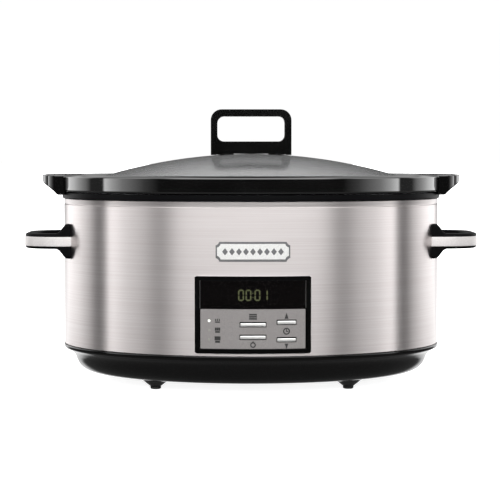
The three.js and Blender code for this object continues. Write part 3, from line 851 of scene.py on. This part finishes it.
def panel_frame():
    """The gloss frame round the controls, and a black plate behind the keys that paints shade into the gaps
    round them.
    """
    frame_piece = upright_plate("control_frame", -PANEL_HALF, PANEL_HALF, PANEL_LOW, PANEL_HIGH, 2.2 * MM)
    bpy.ops.mesh.inset(thickness=4.1 * MM)
    bpy.ops.mesh.delete(type="FACE")
    lay_on_shell(frame_piece, -0.4 * MM, 3.0 * MM, 0.7 * MM)
    finish_piece(frame_piece, PHENOLIC, "black_plastic", "base", "panel_frame", smooth=12)
    # a black plate behind the key openings, so that their gaps show it as painted shade
    behind = upright_plate("key_gap_shade_backing", -FIELD_HALF - 1 * MM, FIELD_HALF + 1 * MM,
                           FASCIA_LOW - 0.5 * MM, LENS_LOW, 0)
    lay_on_shell(behind, 0.1 * MM, 0.3 * MM, 0)
    finish_piece(behind, BLACK, "black_plastic", "base")


FASCIA_BACK, FASCIA_FRONT = 1.0 * MM, 2.2 * MM  # how far in front of the shell


def key_box(key):
    """Left, right, bottom and top of the part of a key that shows, inside its hidden flange."""
    lowest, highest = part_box(key + "_key")
    flange = 0.9 * MM
    return lowest.x + flange, highest.x - flange, lowest.z + flange, highest.z - flange


def panel_fascia():
    """The lacquered plate with an opening for each key."""
    fascia = upright_plate("lacquered_fascia", -FIELD_HALF, FIELD_HALF, FASCIA_LOW, FASCIA_HIGH, 0.5 * MM)
    lay_on_shell(fascia, FASCIA_BACK, FASCIA_FRONT - FASCIA_BACK, 0)
    gap = 0.55 * MM
    tools = []
    for key in KEYS:
        left, right, bottom, top = key_box(key)
        # each opening reaches higher above its key, where the black plate behind it shows as a painted
        # shadow line
        tools.append(close(block("opening", (left - gap, -150 * MM, bottom - gap),
                                 (right + gap, -130 * MM, top + 1.8 * gap))))
    fuse(fascia, gather("openings", tools), operation="DIFFERENCE")
    soften(fascia, 0.2 * MM, segments=2, sharp=50)
    finish_piece(fascia, LACQUER, "grey_plastic", "base", "panel_fascia", smooth=12)


def display():
    """The smoked lens, and the digit module that shines through it."""
    lens = upright_plate("smoked_window", -FIELD_HALF, FIELD_HALF, LENS_LOW, LENS_HIGH, 0.5 * MM)
    lay_on_shell(lens, FASCIA_BACK, 1.3 * MM, 0.3 * MM)
    finish_piece(lens, SMOKED, "smoked_lens", "base", "display_lens", smooth=12)
    mask = close(block("display_mask", (-FIELD_HALF, -133.4 * MM, LENS_LOW - 1 * MM),
                       (FIELD_HALF, -132.4 * MM, LENS_HIGH + 1 * MM)))
    finish_piece(soften(mask, 0.3 * MM), BLACK, "black_plastic", "base")
    lowest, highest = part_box("display_module")
    module = soften(close(block("digit_module", lowest, highest)), 0.5 * MM, segments=2)
    finish_piece(module, UNLIT, "lamp_plastic", "base", "display_module")
    show_digits("0001", lowest.y, (lowest.z + highest.z) / 2)


# which strokes each figure lights, by their places in STROKE_ENDS
STROKES = {"0": (0, 1, 2, 3, 4, 5), "1": (1, 2)}
# the two ends of each stroke as shares of the half width and half height: top, upper right, lower right,
# bottom, lower left, upper left, middle
STROKE_ENDS = (((-1, 1), (1, 1)), ((1, 1), (1, 0)), ((1, 0), (1, -1)), ((-1, -1), (1, -1)),
               ((-1, -1), (-1, 0)), ((-1, 0), (-1, 1)), ((-1, 0), (1, 0)))
DIGIT = {"pitch": 6.7 * MM, "wide": 4.1 * MM, "tall": 9 * MM, "stroke": 1.3 * MM, "gap": 0.15 * MM,
         "colon": 0.7 * MM}  # colon is how far each pair of figures stands aside for the two dots


def show_digits(figures, front, level):
    """Four figures of seven strokes each, with a colon of two dots between the pairs."""
    lit, unlit = [], []
    half_w, half_h = DIGIT["wide"] / 2, DIGIT["tall"] / 2
    for place, figure in enumerate(figures):
        x = (place - 1.5) * DIGIT["pitch"] + (DIGIT["colon"] if place > 1 else -DIGIT["colon"])
        for stroke, ((ax, az), (bx, bz)) in enumerate(STROKE_ENDS):
            bar = digit_stroke(x + ax * half_w, level + az * half_h,
                               x + bx * half_w, level + bz * half_h, front)
            (lit if stroke in STROKES[figure] else unlit).append(bar)
    for side in (-1, 1):
        z = level + side * 2 * MM
        dot = DIGIT["stroke"] / 2
        lit.append(digit_stroke(0, z - dot, 0, z + dot, front))
    finish_piece(gather("lit_strokes", lit), LIT, "lamp_plastic", "base")
    finish_piece(gather("unlit_strokes", unlit), UNLIT, "lamp_plastic", "base")


def digit_stroke(x0, z0, x1, z1, front):
    """One raised stroke of a figure, with pointed ends."""
    half, gap = DIGIT["stroke"] / 2, DIGIT["gap"]
    if x0 == x1:
        bounds = (x0 - half, x0 + half, min(z0, z1) + gap, max(z0, z1) - gap)
    else:
        bounds = (min(x0, x1) + gap, max(x0, x1) - gap, z0 - half, z0 + half)
    bar = upright_plate("stroke", *bounds, 0, front=front)
    bpy.ops.mesh.bevel(offset=half * 0.9, segments=1, affect="VERTICES")
    bpy.ops.mesh.extrude_region_move(TRANSFORM_OT_translate={"value": (0, -0.3 * MM, 0)})
    bpy.ops.mesh.select_all(action="SELECT")
    bpy.ops.mesh.normals_make_consistent(inside=False)
    return close(bar)


def control_keys():
    """Four chromed keys, each a shallow pillow that follows the panel's curve."""
    for key in KEYS:
        left, right, bottom, top = key_box(key)
        cap = upright_plate(key + "_cap", left, right, bottom, top, 0.8 * MM)
        lay_on_shell(cap, 1.5 * MM, 1.5 * MM, 0.5 * MM)
        finish_piece(cap, CHROME, "chromed_plastic", key + "_button", key + "_key")


def ring_mark(x, z, radius, line):
    piece = flat_disc("ring", 24, radius, x, z)
    bpy.ops.mesh.inset(thickness=line)
    bpy.ops.mesh.delete(type="FACE")
    return close(piece)


def arrow_mark(x, z, size, down=False):
    turn = math.radians(-90 if down else 90)
    piece = flat_disc("arrow", 3, size, x, z)
    bpy.ops.object.mode_set(mode="OBJECT")
    piece.rotation_euler = (turn, 0, 0)
    piece.scale = (0.72, 1.25, 1)
    close(piece)
    if down:
        bpy.ops.object.mode_set(mode="EDIT")
        bpy.ops.mesh.select_all(action="SELECT")
        bpy.ops.mesh.flip_normals()
        bpy.ops.object.mode_set(mode="OBJECT")
    return piece


def bar_mark(left, right, bottom, top):
    return close(upright_plate("bar", left, right, bottom, top, 0))


def panel_prints():
    """Printed symbols: bars for mode, a ring for power, arrows and a clock for time, steps for the heats."""
    mode_x, mode_z, power_z = middle("mode_key").x, middle("mode_key").z, middle("power_key").z
    time_x, up_z, down_z = middle("time_up_key").x, middle("time_up_key").z, middle("time_down_key").z
    clock_z = (up_z + down_z) / 2
    marks = []
    for k in (-1, 0, 1):
        z = mode_z + 7.4 * MM + 1.9 * k * MM
        marks.append(bar_mark(mode_x - 3.5 * MM, mode_x + 3.5 * MM, z - 0.7 * MM, z + 0.7 * MM))
    marks.append(ring_mark(mode_x, power_z - 6.8 * MM, 2.6 * MM, 1.1 * MM))
    marks.append(bar_mark(mode_x - 0.5 * MM, mode_x + 0.5 * MM, power_z - 5.3 * MM, power_z - 3.5 * MM))
    marks.append(arrow_mark(time_x, up_z + 5.2 * MM, 2.9 * MM))
    marks.append(arrow_mark(time_x, down_z - 5 * MM, 2.6 * MM, down=True))
    marks.append(ring_mark(time_x, clock_z, 3.2 * MM, 1.1 * MM))
    marks.append(bar_mark(time_x - 0.4 * MM, time_x + 0.4 * MM, clock_z - 0.3 * MM, clock_z + 2 * MM))
    marks.append(bar_mark(time_x - 0.4 * MM, time_x + 1.6 * MM, clock_z - 0.6 * MM, clock_z + 0.2 * MM))
    for level, node in enumerate(LIGHTS):
        x, z = middle(node).x + 7.6 * MM, middle(node).z
        tall, wide = (1.75 + 0.6 * level) * MM, (0.45 + 0.3 * level) * MM
        marks.append(bar_mark(x - 2.2 * MM, x + 2.2 * MM, z - tall, z - tall + (1.1 + 0.4 * level) * MM))
        for k in (-1, 0, 1):
            step = x + k * 1.65 * MM
            marks.append(bar_mark(step - wide, step + wide, z - tall + (1.5 + 0.4 * level) * MM, z + tall))
    prints = gather("panel_prints", marks)
    lay_on_shell(prints, FASCIA_FRONT - 0.02 * MM, 0.1 * MM, 0, strips=1.6 * MM)
    finish_piece(prints, DARK_INK, "grey_plastic", "base")


# ---------- works inside ----------
INNER_FINISHES = {
    "heater_band": SLEEVE, "heater_clamp": ZINC, "heat_shield": ALUMINISED, "centre_stud": ZINC,
    "centre_nut": ZINC, "temperature_sensor": ZINC, "thermal_fuse": ZINC, "power_board": BOARD,
    "relay": BLACK, "transformer": ZINC, "capacitor": BLACK, "terminal_block": LACQUER,
    "ribbon_cable": RIBBON, "control_board": BOARD,
}


def inner_works():
    """The pieces inside the casing keep their shapes and take the finish of the real part."""
    finishes = dict(INNER_FINISHES)
    for key in KEYS:
        finishes[key + "_switch"] = BLACK
    for light in LIGHTS:
        finishes[light] = PIPE if light == LIGHTS[0] else DARK_PIPE
    for side in ("right", "left"):
        for end in ("front", "back"):
            finishes[f"{side}_grip_screw_{end}"] = ZINC
    for node, material in finishes.items():
        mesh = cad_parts[node].data
        mesh.materials.clear()
        mesh.materials.append(material)


# ---------- studio ----------
def lay_floor():
    """A white floor that runs out to a white surround, neither of which shows in the gloss."""
    white = linear("FFFFFF")
    bpy.ops.mesh.primitive_plane_add(size=60, location=(0, 0, 0))
    floor = bpy.context.active_object
    floor.name = "studio_floor"
    paint, *_ = new_finish(
        "white_painted_floor", "FFFFFF", Roughness=0.9, Emission_Color=white, Emission_Strength=0.88)
    bpy.ops.mesh.primitive_uv_sphere_add(segments=48, ring_count=24, radius=29)
    surround = bpy.context.active_object
    surround.name = "studio_surround"
    glow, *_ = new_finish(
        "white_surround", "000000", Roughness=1.0, Emission_Color=white, Emission_Strength=1.0)
    for piece, material, unseen_by in (
            (floor, paint, ("glossy", "transmission")),
            (surround, glow, ("diffuse", "glossy", "transmission", "shadow", "volume_scatter"))):
        piece.data.materials.append(material)
        for kind in unseen_by:
            setattr(piece, "visible_" + kind, False)


BRIGHTEST = 8.0  # a ramp's colours stop at 1, so each light is drawn as a share of this


def light_ramp(tree, angle, first, last, stops):
    """The strength that goes with an angle, from (degrees, strength) stops between two angles."""
    share = add_node(tree, "MapRange", {
        "Value": (angle, "Value"), "From Min": math.radians(first), "From Max": math.radians(last)})
    ramp = add_node(tree, "ValToRGB", {"Fac": (share, "Result")})
    points = ramp.color_ramp.elements
    points.remove(points[1])
    for k, (degrees, strength) in enumerate(stops):
        place = (degrees - first) / (last - first)
        point = points[0] if k == 0 else points.new(place)
        point.position = place
        tone = strength / BRIGHTEST
        point.color = (tone, tone, tone, 1)
    return ramp


# each light is its strength by degrees round from straight in front, to either side, and the share of
# that strength by degrees up
STUDIO = {
    "side_strips": (
        [(0, 0.02), (45, 0.02), (54, 0.32), (61, 0.8), (69, 1.35), (77, 2.6), (83, 4.0), (85, 0.1),
         (97, 0.1), (103, 0.8), (120, 1.9), (138, 2.1), (146, 1.4), (151, 0.02), (180, 0.02)],
        [(-90, 0), (-8, 0), (-5.5, 1), (5.5, 1), (7, 0), (90, 0)]),
    "wall_lights": (
        [(0, 3.9), (35, 3.8), (39, 2.8), (43, 1.1), (46, 0.7), (50, 1.0), (54, 2.0), (61, 2.1), (70, 2.0),
         (82, 1.0), (85, 0.1), (95, 0.1), (100, 1.8), (130, 1.6), (142, 1.2), (150, 0.15), (180, 0.13)],
        [(-90, 0), (4, 0), (6, 1), (18, 1), (30, 0.7), (34, 0), (90, 0)]),
    "back_glow": (
        [(0, 0), (142, 0), (150, 1.3), (180, 1.3)],
        [(-90, 0), (-30, 0), (-22, 1), (-3, 1), (-0.5, 0), (90, 0)]),
    "ceiling": (
        [(0, 2.2), (60, 2.0), (90, 1.0), (130, 1.4), (180, 2.1)],
        [(-90, 0), (12, 0), (20, 0.07), (30, 0.28), (40, 0.85), (46, 1), (64, 1), (76, 0.12), (90, 0.06)]),
    "floor_bounce": (
        [(0, 0.16), (180, 0.16)],
        [(-90, 1), (-20, 1), (-10, 0.1), (90, 0.1)]),
}


def light_studio():
    """A white room of soft lights, each graded round the cooker and kept to its own height."""
    world = bpy.data.worlds.new("studio_room")
    bpy.context.scene.world = world
    world.use_nodes = True
    tree = world.node_tree
    place = add_node(tree, "TexCoord")
    split = add_node(tree, "SeparateXYZ", {"Vector": (place, "Generated")})
    forward = add_node(tree, "Math", {0: (split, "Y"), 1: -1.0}, operation="MULTIPLY")
    turn = add_node(tree, "Math", {0: (split, "X"), 1: (forward, "Value")}, operation="ARCTAN2")
    azimuth = add_node(tree, "Math", {0: (turn, "Value")}, operation="ABSOLUTE")
    elevation = add_node(tree, "Math", {0: (split, "Z")}, operation="ARCSINE")
    total = None
    for around, upward in STUDIO.values():
        strength = light_ramp(tree, azimuth, 0, 180, around)
        share = light_ramp(tree, elevation, -90, 90, [(d, e * BRIGHTEST) for d, e in upward])
        light = add_node(tree, "Math", {0: (strength, "Color"), 1: (share, "Color")}, operation="MULTIPLY")
        if total:
            light = add_node(tree, "Math", {0: (total, "Value"), 1: (light, "Value")}, operation="ADD")
        total = light
    room = tree.nodes["Background"]
    tree.links.new(total.outputs["Value"], room.inputs["Color"])
    room.inputs["Strength"].default_value = BRIGHTEST
    bpy.context.scene.view_settings.view_transform = "Standard"


for make in (
        set_camera, outer_shell, top_trim, base_pan, rubber_feet, bottom_cover, cord_entry, heating_well,
        side_grips, crock, lid_dome, lid_handle, lid_fittings, badge, panel_frame, panel_fascia, display,
        control_keys, panel_prints, inner_works, lay_floor, light_studio):
    make()
